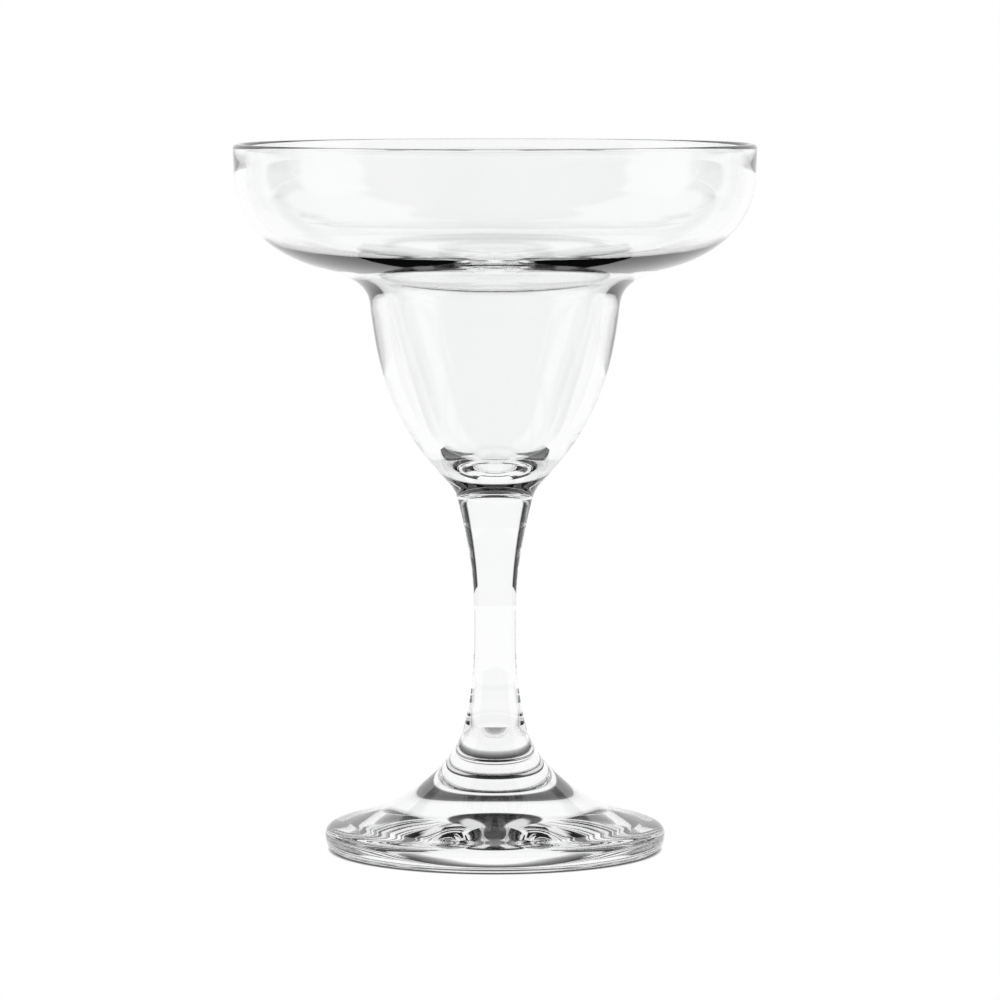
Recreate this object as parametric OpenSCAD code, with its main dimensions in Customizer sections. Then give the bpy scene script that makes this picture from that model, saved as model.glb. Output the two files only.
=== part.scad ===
// Margarita glass: a wide shallow cup over a deep well, on a drawn stem and a round foot.
// Three pieces of clear glass stand on one upright axis and are fused at two flat welds.
// The origin is on the table at the middle of the foot, and +Z is up.

/* [Bowl] */
// Height of the bowl, from its weld with the stem to the top of the lip
bowl_h = 81; // [72:0.5:92]
// Diameter of the cup across the lip
rim_d = 118; // [104:0.5:132]
// Height of the cup, from the shoulder to the top of the lip
cup_h = 36.2; // [30:0.1:42]
// Diameter of the well just under the shoulder
neck_d = 56.4; // [48:0.2:66]
// Thickness of the rounded lip
lip_wall = 2.1; // [1.4:0.1:3]
// Thickness of the cup's upright side
cup_wall = 2.4; // [1.6:0.1:3.6]
// Thickness of the cup's sloping shelf
shelf_wall = 2.8; // [2:0.1:4]
// Thickness of the well's wall under the shoulder
well_wall = 3.6; // [2:0.1:4.6]
// How far the shoulder lies higher inside than outside
shoulder_rise = 0.5; // [0.1:0.1:2]
// Thickness of the solid glass under the well, on the axis
bottom_wall = 8; // [6:0.5:12]

/* [Stem] */
// Length of the stem between its two welds
stem_l = 53; // [36:0.5:80]
// Diameter of the stem at its waist
waist_d = 9.5; // [7:0.1:12]
// Diameter of the weld between bowl and stem
bowl_weld_d = 16.6; // [14:0.1:20]
// Diameter of the weld between stem and foot
foot_weld_d = 15; // [13:0.1:18]

/* [Foot] */
// Diameter of the foot across its edge
foot_d = 77.2; // [66:0.2:90]
// Height of the foot, from the table to its weld with the stem
foot_h = 26; // [20:0.5:34]
// Height of the foot's widest point above the table
edge_h = 3.4; // [2.4:0.1:5]
// How far the standing ring lies in from the foot's edge
edge_round = 2; // [1:0.1:3]
// Width of the flat ring that stands on the table
ring_w = 6; // [3:0.5:10]
// Depth of the hollow under the foot, on the axis
hollow_h = 2.5; // [1:0.1:4]

/* [Hidden] */

// Straight pieces in each bend of an outline, and in the half round of the lip
bend_steps = 14;
lip_steps = 10;
$fn = 180;

// Length of a bend's two handles, as a share of the straight line between its ends
handle_share = 0.38;

// Leans of the outlines, in degrees from straight down, with inwards positive
upright = 0;
level = 90;
shelf_lean = 70;
shelf_inside_lean = 75;
neck_lean = 6;
neck_inside_lean = 10;
root_lean = 44;
bottom_lean = 25;
bowl_weld_lean = 12;
stem_top_lean = 14;
stem_end_lean = -15;
foot_top_lean = -28;
cone_lean = -49;
brim_lean = -72;

// Cup: where its side stands upright, and the middle of the sloping shelf under it
side_height_share = 0.81;
side_in_share = 0.0034;
shelf_height_share = 0.26;
shelf_out_share = 0.474;

// Well: the root of its outside above the weld, and the start of its rounded bottom inside
root_height_share = 0.112;
root_out_share = 0.136;
bottom_height_share = 0.29;
bottom_out_share = 0.64;

// Stem: height of the waist
waist_height_share = 0.49;

// Foot: the end of its cone and the middle of its brim
cone_height_share = 0.58;
cone_out_share = 0.229;
brim_height_share = 0.14;
brim_out_share = 0.804;

rim_r = rim_d / 2;
neck_r = neck_d / 2;
foot_r = foot_d / 2;
well_h = bowl_h - cup_h;
lip_r = lip_wall / 2;
bowl_weld_r = bowl_weld_d / 2;
foot_weld_r = foot_weld_d / 2;
stem_seat = foot_h;
bowl_seat = stem_seat + stem_l;

// Value at a share of the way between two others
function between(low, high, share) = low + share * (high - low);

// Direction of travel down an outline at a lean
function heading(lean) = [-sin(lean), -cos(lean)];

// Station [radius, height, lean] moved square to the outline, towards the hollow of the bowl, at a lean of its own
function inset(station, wall, lean) = [
    station[0] - wall * cos(station[2]),
    station[1] + wall * sin(station[2]),
    lean
];

// Point of a station
function spot(station) = [station[0], station[1]];

// Points of a smooth bend from one station down to the next, without the last
function bend(upper, lower) =
    let (
        start = spot(upper),
        finish = spot(lower),
        reach = handle_share * norm(finish - start),
        first = start + reach * heading(upper[2]),
        second = finish - reach * heading(lower[2])
    )
    [
        for (i = [0 : bend_steps - 1])
            let (t = i / bend_steps, s = 1 - t)
            s * s * s * start + 3 * s * s * t * first + 3 * s * t * t * second + t * t * t * finish
    ];

// Points of a whole outline through its stations, from the top down
function outline(stations) = [
    for (i = [0 : len(stations) - 2])
        each bend(stations[i], stations[i + 1]),
    spot(stations[len(stations) - 1])
];

// Wide cup and deep well, blown as one vessel with a thick bottom
module bowl() {
    lip_h = bowl_h - lip_r;
    side = [rim_r * (1 - side_in_share), well_h + side_height_share * cup_h, upright];
    shelf = [
        between(neck_r, rim_r, shelf_out_share),
        well_h + shelf_height_share * cup_h,
        shelf_lean
    ];
    neck = [neck_r, well_h, neck_lean];
    root = [between(bowl_weld_r, neck_r, root_out_share), root_height_share * well_h, root_lean];
    throat = [neck_r - well_wall, well_h + shoulder_rise, neck_inside_lean];
    bottom = [
        bottom_out_share * throat[0],
        between(bottom_wall, throat[1], bottom_height_share),
        bottom_lean
    ];
    outside = outline([[rim_r, lip_h, upright], side, shelf, neck, root, [bowl_weld_r, 0, bowl_weld_lean]]);
    inside = outline([
        [rim_r - lip_wall, lip_h, upright],
        inset(side, cup_wall, upright),
        inset(shelf, shelf_wall, shelf_inside_lean),
        throat,
        bottom,
        [0, bottom_wall, level]
    ]);
    lip = [
        for (i = [1 : lip_steps - 1])
            let (turn = 180 * i / lip_steps)
            [rim_r - lip_r + lip_r * cos(turn), lip_h + lip_r * sin(turn)]
    ];
    color("aliceblue", 0.4)
        translate([0, 0, bowl_seat])
            rotate_extrude()
                polygon(concat(
                    lip,
                    inside,
                    [[0, 0]],
                    [for (i = [len(outside) - 1 : -1 : 0]) outside[i]]
                ));
}

// Solid stem, drawn to a waist and flared to a weld at each end
module stem() {
    side = outline([
        [bowl_weld_r, stem_l, stem_top_lean],
        [waist_d / 2, waist_height_share * stem_l, upright],
        [foot_weld_r, 0, stem_end_lean]
    ]);
    color("aliceblue", 0.4)
        translate([0, 0, stem_seat])
            rotate_extrude()
                polygon(concat([[0, stem_l]], side, [[0, 0]]));
}

// Solid foot: a short cone that runs out into a disc, hollowed a little underneath
module foot() {
    ring_r = foot_r - edge_round;
    hollow_r = ring_r - ring_w;
    top = outline([
        [foot_weld_r, foot_h, foot_top_lean],
        [between(foot_weld_r, foot_r, cone_out_share), between(edge_h, foot_h, cone_height_share), cone_lean],
        [between(foot_weld_r, foot_r, brim_out_share), between(edge_h, foot_h, brim_height_share), brim_lean],
        [foot_r, edge_h, upright],
        [ring_r, 0, level]
    ]);
    hollow = outline([[hollow_r, 0, level], [0, hollow_h, level]]);
    color("aliceblue", 0.4)
        rotate_extrude()
            polygon(concat([[0, foot_h]], top, hollow));
}

bowl();
stem();
foot();
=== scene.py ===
import math
import bpy
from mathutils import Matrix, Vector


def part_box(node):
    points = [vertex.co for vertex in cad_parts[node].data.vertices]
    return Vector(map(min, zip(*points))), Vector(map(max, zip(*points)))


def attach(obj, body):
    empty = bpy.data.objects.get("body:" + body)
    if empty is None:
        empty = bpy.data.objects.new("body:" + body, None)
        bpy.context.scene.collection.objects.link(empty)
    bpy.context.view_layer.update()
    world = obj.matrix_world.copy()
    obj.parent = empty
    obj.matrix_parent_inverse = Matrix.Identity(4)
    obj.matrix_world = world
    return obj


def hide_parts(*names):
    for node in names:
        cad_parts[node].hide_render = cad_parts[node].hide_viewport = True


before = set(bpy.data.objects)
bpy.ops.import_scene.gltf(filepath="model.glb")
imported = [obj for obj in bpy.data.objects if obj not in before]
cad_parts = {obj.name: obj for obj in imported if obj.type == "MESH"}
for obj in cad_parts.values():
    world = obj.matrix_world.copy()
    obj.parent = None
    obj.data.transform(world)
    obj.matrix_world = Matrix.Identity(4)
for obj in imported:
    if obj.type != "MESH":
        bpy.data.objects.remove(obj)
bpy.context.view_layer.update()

# Bowl
# A wide cup over a deep well, blown in one piece of clear soda-lime glass and fire-polished at the lip.
# It is turned here as one outline round the upright axis, and its flat underside is fused to the stem.
MM = 0.001
bowl_low, bowl_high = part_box("bowl")
rim_r = bowl_high[0]
bowl_top = bowl_high[2]
bowl_seat = bowl_low[2]
bowl_weld_r = 8.3 * MM
cup_h = 36.2 * MM
lip_wall = 2.1 * MM
side_in = 0.2 * MM
side_height_share = 0.81
cup_wall = 2.4 * MM
shelf_r = 42.8 * MM
shelf_height_share = 0.26
shelf_wall = 2.8 * MM
neck_r = 28.2 * MM
shoulder_rise = 0.5 * MM
well_wall = 3.6 * MM
root_r = 11 * MM
root_rise = 5 * MM
bottom_r = 15.7 * MM
bottom_rise = 18.8 * MM
bottom_wall = 8 * MM

# Headings along an outline, in degrees, and how far the bowl's outline leans from upright at its stations
DOWN, INWARDS, UP, OUTWARDS = 0, 90, 180, 270
shelf_lean = 70
shelf_inside_lean = 75
neck_lean = 6
neck_inside_lean = 10
root_lean = 44
bottom_lean = 25
bowl_weld_lean = 12

HANDLE_SHARE = 0.38
STEPS_PER_BEND = 20


def heading(lean):
    """Direction of travel along an outline, in degrees from straight down, turning inwards."""
    angle = math.radians(lean)
    return -math.sin(angle), -math.cos(angle)


def outline(name, stations):
    """Bezier curve in the XZ plane through stations (radius, height, heading).

    A station at a corner has two headings: the one that the outline arrives by, and the one it leaves by.
    """
    curve = bpy.data.curves.new(name, "CURVE")
    curve.dimensions = "3D"
    curve.resolution_u = STEPS_PER_BEND
    spline = curve.splines.new("BEZIER")
    spline.bezier_points.add(len(stations) - 1)
    for i, point in enumerate(spline.bezier_points):
        radius, height, *headings = stations[i]
        before = stations[max(i - 1, 0)]
        after = stations[min(i + 1, len(stations) - 1)]
        reach_in = HANDLE_SHARE * math.dist(before[:2], (radius, height))
        reach_out = HANDLE_SHARE * math.dist(after[:2], (radius, height))
        arrive, leave = heading(headings[0]), heading(headings[-1])
        point.handle_left_type = point.handle_right_type = "FREE"
        point.co = (radius, 0, height)
        point.handle_left = (radius - reach_in * arrive[0], 0, height - reach_in * arrive[1])
        point.handle_right = (radius + reach_out * leave[0], 0, height + reach_out * leave[1])
    return bpy.data.objects.new(name, curve)


def put(tree, kind, sockets=None, **settings):
    """Adds a node, sets its settings, and fills or links its input sockets."""
    node = tree.nodes.new(kind)
    for name, value in settings.items():
        setattr(node, name, value)
    for socket, value in (sockets or {}).items():
        if isinstance(value, bpy.types.NodeSocket):
            tree.links.new(value, node.inputs[socket])
        else:
            node.inputs[socket].default_value = value
    return node


def lathe_tree():
    """Turns an outline round the Z axis into one closed skin, a little uneven as blown glass is."""
    drawn_out = (1, 1, 0.3)
    sideways = (1, 1, 0)
    same_point = 0.001 * MM
    same_height = 0.01 * MM
    tree = bpy.data.node_groups.new("glass lathe", "GeometryNodeTree")
    kinds = {"Outline": "Geometry", "Sides": "Int", "Wave length": "Float", "Wave share": "Float",
             "Crease": "Float", "Lower weld": "Float", "Upper weld": "Float",
             "Glass": "Material", "Weld": "Material"}
    for name, kind in kinds.items():
        tree.interface.new_socket(name, in_out="INPUT", socket_type="NodeSocket" + kind)
    tree.interface.new_socket("Piece", in_out="OUTPUT", socket_type="NodeSocketGeometry")
    given = put(tree, "NodeGroupInput").outputs

    # A grid with a row for each point of the outline, and a column for each side and the first side again
    wire = put(tree, "GeometryNodeCurveToMesh", {"Curve": given["Outline"]}).outputs["Mesh"]
    rows = put(tree, "GeometryNodeAttributeDomainSize", {"Geometry": wire}, component="MESH")
    columns = put(tree, "FunctionNodeIntegerMath", {0: given["Sides"], 1: 1}, operation="ADD").outputs[0]
    grid = put(tree, "GeometryNodeMeshGrid",
               {"Vertices X": rows.outputs["Point Count"], "Vertices Y": columns})

    # Each row's point of the outline, turned by each column's share of a full turn
    index = put(tree, "GeometryNodeInputIndex").outputs[0]
    row = put(tree, "FunctionNodeIntegerMath", {0: index, 1: columns}, operation="DIVIDE_FLOOR").outputs[0]
    column = put(tree, "FunctionNodeIntegerMath", {0: index, 1: columns}, operation="MODULO").outputs[0]
    share = put(tree, "ShaderNodeMath", {0: column, 1: given["Sides"]}, operation="DIVIDE").outputs[0]
    angle = put(tree, "ShaderNodeMath", {0: share, 1: math.tau}, operation="MULTIPLY").outputs[0]
    position = put(tree, "GeometryNodeInputPosition").outputs[0]
    place = put(tree, "GeometryNodeSampleIndex", {"Geometry": wire, "Value": position, "Index": row},
                data_type="FLOAT_VECTOR").outputs[0]
    turned = put(tree, "ShaderNodeVectorRotate", {"Vector": place, "Angle": angle},
                 rotation_type="Z_AXIS").outputs[0]

    # Slow waves in and out, drawn out along the height
    drawn = put(tree, "ShaderNodeVectorMath", {0: turned, 1: drawn_out}, operation="MULTIPLY").outputs[0]
    pitch = put(tree, "ShaderNodeMath", {0: 1, 1: given["Wave length"]}, operation="DIVIDE").outputs[0]
    noise = put(tree, "ShaderNodeTexNoise", {"Vector": drawn, "Scale": pitch, "Detail": 1}).outputs["Fac"]
    swing = put(tree, "ShaderNodeMath", {0: noise, 1: 0.5}, operation="SUBTRACT").outputs[0]
    swell = put(tree, "ShaderNodeMath", {0: swing, 1: given["Wave share"]}, operation="MULTIPLY").outputs[0]
    level = put(tree, "ShaderNodeVectorMath", {0: turned, 1: sideways}, operation="MULTIPLY").outputs[0]
    shift = put(tree, "ShaderNodeVectorMath", {0: level, "Scale": swell}, operation="SCALE").outputs[0]
    skin = put(tree, "GeometryNodeSetPosition",
               {"Geometry": grid.outputs["Mesh"], "Position": turned, "Offset": shift})
    skin = put(tree, "GeometryNodeMergeByDistance", {"Geometry": skin.outputs[0], "Distance": same_point})

    # Smooth all over, but for the corners at the welds
    bend = put(tree, "GeometryNodeInputMeshEdgeAngle").outputs["Unsigned Angle"]
    sharp = put(tree, "FunctionNodeCompare", {0: bend, 1: given["Crease"]},
                operation="GREATER_THAN").outputs[0]
    skin = put(tree, "GeometryNodeSetShadeSmooth", {"Geometry": skin.outputs[0], "Shade Smooth": True})
    skin = put(tree, "GeometryNodeSetShadeSmooth",
               {"Geometry": skin.outputs[0], "Selection": sharp, "Shade Smooth": False}, domain="EDGE")

    # Glass all over, but for the faces that lie in a weld
    height = put(tree, "ShaderNodeSeparateXYZ", {0: position}).outputs["Z"]
    at_weld = [put(tree, "FunctionNodeCompare", {0: height, 1: given[name], "Epsilon": same_height},
                   operation="EQUAL").outputs[0] for name in ("Lower weld", "Upper weld")]
    welded = put(tree, "FunctionNodeBooleanMath", {0: at_weld[0], 1: at_weld[1]}, operation="OR").outputs[0]
    skin = put(tree, "GeometryNodeRealizeInstances", {"Geometry": skin.outputs[0]})
    skin = put(tree, "GeometryNodeSetMaterial", {"Geometry": skin.outputs[0], "Material": given["Glass"]})
    skin = put(tree, "GeometryNodeSetMaterial",
               {"Geometry": skin.outputs[0], "Selection": welded, "Material": given["Weld"]})
    put(tree, "NodeGroupOutput", {"Piece": skin.outputs[0]})
    return tree


def linear(hex_colour):
    """sRGB hex to the linear colour that a shader takes."""
    parts = [int(hex_colour[i:i + 2], 16) / 255 for i in (1, 3, 5)]
    return (*[c / 12.92 if c <= 0.04045 else ((c + 0.055) / 1.055) ** 2.4 for c in parts], 1)


def new_material(name):
    """A material with Blender's standard shader, and its node tree."""
    material = bpy.data.materials.new(name)
    material.use_nodes = True
    return material, material.node_tree


def clear_soda_lime_glass():
    """Fire-polished soda-lime glass: colourless and bright, with faint streaks from its making."""
    streak_w = 12 * MM
    streak_stretch = (1, 1, 0.2)
    material, tree = new_material("clear_soda_lime_glass")
    shader = tree.nodes["Principled BSDF"]
    shader.inputs["Transmission Weight"].default_value = 1
    shader.inputs["IOR"].default_value = 1.52
    shader.inputs["Roughness"].default_value = 0
    spot = put(tree, "ShaderNodeTexCoord").outputs["Object"]
    streaks = put(tree, "ShaderNodeMapping", {"Vector": spot, "Scale": streak_stretch}).outputs[0]
    cloud = put(tree, "ShaderNodeTexNoise",
                {"Vector": streaks, "Scale": 1 / streak_w, "Detail": 2}).outputs["Fac"]
    tint = put(tree, "ShaderNodeMix", {"Factor": cloud, "A": linear("#FAFBFB"), "B": linear("#FFFFFF")},
               data_type="RGBA").outputs["Result"]
    tree.links.new(tint, shader.inputs["Base Color"])
    return material


def fused_weld():
    """Two pieces melted into one: inside the glass there is no surface left to see."""
    material, tree = new_material("fused_weld")
    tree.nodes["Principled BSDF"].inputs["Alpha"].default_value = 0
    return material


NO_WELD = -1
lathe = lathe_tree()
lathe_sizes = {"Sides": 192, "Wave length": 14 * MM, "Wave share": 0.0012, "Crease": math.radians(40),
               "Glass": clear_soda_lime_glass(), "Weld": fused_weld()}
scene = bpy.context.scene


def turn(name, stations, lower_weld, upper_weld):
    """Turns an outline on the lathe and returns the plain mesh piece."""
    blank = outline(name + "_outline", stations)
    scene.collection.objects.link(blank)
    modifier = blank.modifiers.new("lathe", "NODES")
    modifier.node_group = lathe
    sizes = {**lathe_sizes, "Lower weld": lower_weld, "Upper weld": upper_weld}
    for socket in lathe.interface.items_tree:
        if socket.name in sizes:
            modifier[socket.identifier] = sizes[socket.name]
    shape = blank.evaluated_get(bpy.context.evaluated_depsgraph_get())
    piece = bpy.data.objects.new(name, bpy.data.meshes.new_from_object(shape))
    bpy.data.objects.remove(blank)
    scene.collection.objects.link(piece)
    return piece


lip_r = lip_wall / 2
lip_h = bowl_top - lip_r
neck_h = bowl_top - cup_h
side_r = rim_r - side_in
side_h = neck_h + side_height_share * cup_h
shelf_h = neck_h + shelf_height_share * cup_h
shelf_inset_r = shelf_wall * math.cos(math.radians(shelf_lean))
shelf_inset_h = shelf_wall * math.sin(math.radians(shelf_lean))
bowl_outline = [
    (0, bowl_seat + bottom_wall, OUTWARDS),
    (bottom_r, bowl_seat + bottom_rise, UP + bottom_lean),
    (neck_r - well_wall, neck_h + shoulder_rise, UP + neck_inside_lean),
    (shelf_r - shelf_inset_r, shelf_h + shelf_inset_h, UP + shelf_inside_lean),
    (side_r - cup_wall, side_h, UP),
    (rim_r - lip_wall, lip_h, UP),
    (rim_r - lip_r, bowl_top, OUTWARDS),
    (rim_r, lip_h, DOWN),
    (side_r, side_h, DOWN),
    (shelf_r, shelf_h, DOWN + shelf_lean),
    (neck_r, neck_h, DOWN + neck_lean),
    (root_r, bowl_seat + root_rise, DOWN + root_lean),
    (bowl_weld_r, bowl_seat, DOWN + bowl_weld_lean, INWARDS),
    (0, bowl_seat, INWARDS),
]
bowl = turn("glass_bowl", bowl_outline, bowl_seat, NO_WELD)
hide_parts("bowl")
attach(bowl, "root")

# Stem
# A solid rod of the same clear glass, drawn to a waist while it was soft.
# It flares at both ends, to a flat weld with the bowl and another with the foot.
stem_low, stem_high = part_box("stem")
waist_r = 4.75 * MM
waist_h = 52 * MM
foot_weld_r = 7.5 * MM
stem_top_lean = 14
stem_end_lean = 15
stem_outline = [
    (0, stem_high[2], OUTWARDS),
    (bowl_weld_r, stem_high[2], OUTWARDS, DOWN + stem_top_lean),
    (waist_r, waist_h, DOWN),
    (foot_weld_r, stem_low[2], DOWN - stem_end_lean, INWARDS),
    (0, stem_low[2], INWARDS),
]
stem = turn("glass_stem", stem_outline, stem_low[2], stem_high[2])
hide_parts("stem")
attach(stem, "root")

# Foot
# A disc of the same glass that rises in a short cone to its weld with the stem. It stands on a narrow
# flat ring, and is hollowed a little underneath so that it doesn't rock.
foot_low, foot_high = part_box("foot")
foot_r = foot_high[0]
foot_seat = foot_low[2]
cone_r = 14.6 * MM
cone_h = 16.4 * MM
brim_r = 32.5 * MM
brim_h = 6.6 * MM
edge_h = 3.4 * MM
edge_round = 2 * MM
ring_w = 6 * MM
hollow_h = 2.5 * MM
foot_top_lean = 28
cone_lean = 49
brim_lean = 72
ring_r = foot_r - edge_round
foot_outline = [
    (0, foot_high[2], OUTWARDS),
    (foot_weld_r, foot_high[2], OUTWARDS, DOWN - foot_top_lean),
    (cone_r, cone_h, DOWN - cone_lean),
    (brim_r, brim_h, DOWN - brim_lean),
    (foot_r, edge_h, DOWN),
    (ring_r, foot_seat, INWARDS),
    (ring_r - ring_w, foot_seat, INWARDS),
    (0, hollow_h, INWARDS),
]
foot = turn("glass_foot", foot_outline, NO_WELD, foot_high[2])
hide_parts("foot")
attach(foot, "root")

# Floor
# A plain table top that runs out of sight, painted matt white; its glow has a painted contact shadow, dark
# only where the foot all but touches it. In the glass it shows painted shade: a greyer patch at each side,
# which draws the stem's faint outline.
floor_half = 4
floor_gap = 0.2 * MM
shadow_reach = 0.8 * MM
# Painted shade: bearings and distances of the soft edges of the greyer patches that the glass shows.
shade_patch_bearings = [(60, 64), (78, 74)]
shade_patch_distances = [(120 * MM, 200 * MM), (750 * MM, 600 * MM)]


def flat(name, corners, height, material):
    """Level sheet of the set, with its corners at (x, y)."""
    sheet = bpy.data.meshes.new(name)
    sheet.from_pydata([(x, y, height) for x, y in corners], [], [tuple(range(len(corners)))])
    sheet.materials.append(material)
    thing = bpy.data.objects.new(name, sheet)
    scene.collection.objects.link(thing)
    return thing


def shown_in_glass(tree):
    """1 for what the glass shows, mirrored or seen through it, and 0 for all else."""
    path = put(tree, "ShaderNodeLightPath").outputs
    return put(tree, "ShaderNodeMath", {0: path["Is Glossy Ray"], 1: path["Is Transmission Ray"]},
               operation="MAXIMUM").outputs[0]


def bearing_of(tree, place):
    """Degrees between straight behind the glass and a place or direction, to the left and right alike."""
    parts = put(tree, "ShaderNodeSeparateXYZ", {0: place}).outputs
    angle = put(tree, "ShaderNodeMath", {0: parts["X"], 1: parts["Y"]}, operation="ARCTAN2").outputs[0]
    degrees = put(tree, "ShaderNodeMath", {0: angle}, operation="DEGREES").outputs[0]
    return put(tree, "ShaderNodeMath", {0: degrees}, operation="ABSOLUTE").outputs[0]


def zone(tree, amount, *edges):
    """An amount inside all the soft edges and 0 outside, for edges (value, where outside, where inside)."""
    for value, outside, inside in edges:
        amount = put(tree, "ShaderNodeMapRange",
                     {"Value": value, "From Min": outside, "From Max": inside, "To Max": amount},
                     interpolation_type="SMOOTHSTEP").outputs[0]
    return amount


def white_table_painted_shade():
    """Even white to the eye, a painted contact shadow where things touch it, painted shade in the glass."""
    material, tree = new_material("white_table_painted_shade")
    tree.nodes.clear()
    in_glass = shown_in_glass(tree)
    spot = put(tree, "ShaderNodeTexCoord").outputs["Object"]
    bearing = bearing_of(tree, spot)
    away = put(tree, "ShaderNodeVectorMath", {0: spot}, operation="LENGTH").outputs["Value"]
    # Painted shade: in the glass the table is greyer in a patch at each side.
    dim = zone(tree, in_glass, *[(bearing, *edge) for edge in shade_patch_bearings],
               *[(away, *edge) for edge in shade_patch_distances])
    tone = put(tree, "ShaderNodeMix", {"Factor": dim, "A": linear("#FFFFFF"), "B": linear("#C4C4C4")},
               data_type="RGBA").outputs["Result"]
    # Painted contact shadow: the glow fades to dark where the foot all but touches the table.
    painted_contact_shadow = put(tree, "ShaderNodeAmbientOcclusion", {"Distance": shadow_reach}, samples=16).outputs["AO"]
    white = put(tree, "ShaderNodeEmission", {"Color": tone, "Strength": painted_contact_shadow}).outputs[0]
    matt = put(tree, "ShaderNodeBsdfDiffuse", {"Color": linear("#F4F4F4")}).outputs[0]
    to_camera = put(tree, "ShaderNodeLightPath").outputs["Is Camera Ray"]
    seen = put(tree, "ShaderNodeMath", {0: to_camera, 1: in_glass}, operation="MAXIMUM").outputs[0]
    mixed = put(tree, "ShaderNodeMixShader", {0: seen, 1: matt, 2: white}).outputs[0]
    put(tree, "ShaderNodeOutputMaterial", {"Surface": mixed})
    return material


floor_corners = [(-floor_half, -floor_half), (floor_half, -floor_half),
                 (floor_half, floor_half), (-floor_half, floor_half)]
flat("floor", floor_corners, -floor_gap, white_table_painted_shade())

# Cards
# Two cards lie on the table behind the glass, left and right of the middle. The camera sees them only
# in the glass, where their painted dark gives the black accents. From a low or a steep angle a card glows
# white, a painted reflection of the pale room, and between the two it is painted dark.
card_corners = [(18, 45), (60, 20), (95, 40), (85, 100), (18, 165)]


def facing(elevation):
    """Layer Weight's facing value of a level sheet seen from an elevation in degrees."""
    return 1 - math.sin(math.radians(elevation))


def painted_dark_and_reflection_card():
    """Painted dark, glowing white as a painted reflection of the room at low and steep angles."""
    material, tree = new_material("painted_dark_and_reflection_card")
    tree.nodes.clear()
    glance = put(tree, "ShaderNodeLayerWeight", {"Blend": 0.5}).outputs["Facing"]
    # Painted dark between the angles where the card glows white as a painted reflection.
    dark = zone(tree, 1, (glance, facing(26), facing(34)), (glance, facing(66), facing(60)))
    tone = put(tree, "ShaderNodeMix", {"Factor": dark, "A": linear("#FFFFFF"), "B": linear("#272727")},
               data_type="RGBA").outputs["Result"]
    painted_reflection_glow = put(tree, "ShaderNodeEmission", {"Color": tone}).outputs[0]
    put(tree, "ShaderNodeOutputMaterial", {"Surface": painted_reflection_glow})
    return material


# The cards' painted dark and painted reflection.
card_painted_light = painted_dark_and_reflection_card()
for hand in (-1, 1):
    card = flat("card", [(hand * x * MM, y * MM) for x, y in card_corners], -floor_gap / 2, card_painted_light)
    card.visible_camera = card.visible_diffuse = card.visible_shadow = False

# Studio
# A dim room with a white backdrop behind the glass, a white panel at each side, and a pale ceiling that is
# open right overhead and in front, as clear glass is photographed: they fill it with light, and the gaps
# between them give it dark outlines. Bearings are from straight behind, elevations from level, in degrees.
world = bpy.data.worlds.new("studio")
scene.world = world
world.use_nodes = True
tree = world.node_tree
tree.nodes.clear()
ray = put(tree, "ShaderNodeTexCoord").outputs["Generated"]
bearing = bearing_of(tree, ray)
rise = put(tree, "ShaderNodeSeparateXYZ", {0: ray}).outputs["Z"]
angle = put(tree, "ShaderNodeMath", {0: rise}, operation="ARCSINE").outputs[0]
elevation = put(tree, "ShaderNodeMath", {0: angle}, operation="DEGREES").outputs[0]

wall_glow, ceiling_glow, room_glow = 1.0, 0.8, 0.015
wall_top = (elevation, 33, 30)
ceiling_ends = [(bearing, 110, 100), (elevation, 70, 66)]
backdrop = zone(tree, wall_glow, (bearing, 44, 38), wall_top)
panels = zone(tree, wall_glow, (bearing, 70, 76), (bearing, 116, 110), wall_top)
ceiling_behind = zone(tree, ceiling_glow, (bearing, 12, 18), (elevation, 38, 44), *ceiling_ends)
ceiling_beside = zone(tree, ceiling_glow, (bearing, 38, 44), (elevation, 16, 22), *ceiling_ends)
room = room_glow
for light in (backdrop, panels, ceiling_behind, ceiling_beside):
    room = put(tree, "ShaderNodeMath", {0: room, 1: light}, operation="MAXIMUM").outputs[0]
in_glass = shown_in_glass(tree)
strength = put(tree, "ShaderNodeMix", {"Factor": in_glass, "A": wall_glow, "B": room}).outputs["Result"]
sky = put(tree, "ShaderNodeBackground", {"Color": linear("#FFFFFF"), "Strength": strength}).outputs[0]
put(tree, "ShaderNodeOutputWorld", {"Surface": sky})

# Camera
# Where the photograph was taken from: a long lens a little above the lip, tipped down to the middle of the
# glass. Light that is still caught in the glass after a dozen bounces is left dark, as at the shoulder.
sensor_w = 36
image_w = 1000
focal_px = 5212
side_step = 1.13 * MM
distance = 1175.8 * MM
eye_h = 184.6 * MM
aim_h = 79.42 * MM
bounces = 12
camera_data = bpy.data.cameras.new("camera")
camera_data.sensor_width = sensor_w
camera_data.lens = focal_px * sensor_w / image_w
camera_data.clip_start = 50 * MM
camera = bpy.data.objects.new("camera", camera_data)
camera.location = (side_step, -distance, eye_h)
camera.rotation_euler = (math.radians(90) - math.atan2(eye_h - aim_h, distance), 0, 0)
scene.collection.objects.link(camera)
scene.camera = camera
scene.view_settings.view_transform = "Standard"
scene.cycles.max_bounces = bounces
scene.cycles.transmission_bounces = bounces
scene.cycles.glossy_bounces = bounces
scene.cycles.transparent_max_bounces = 32
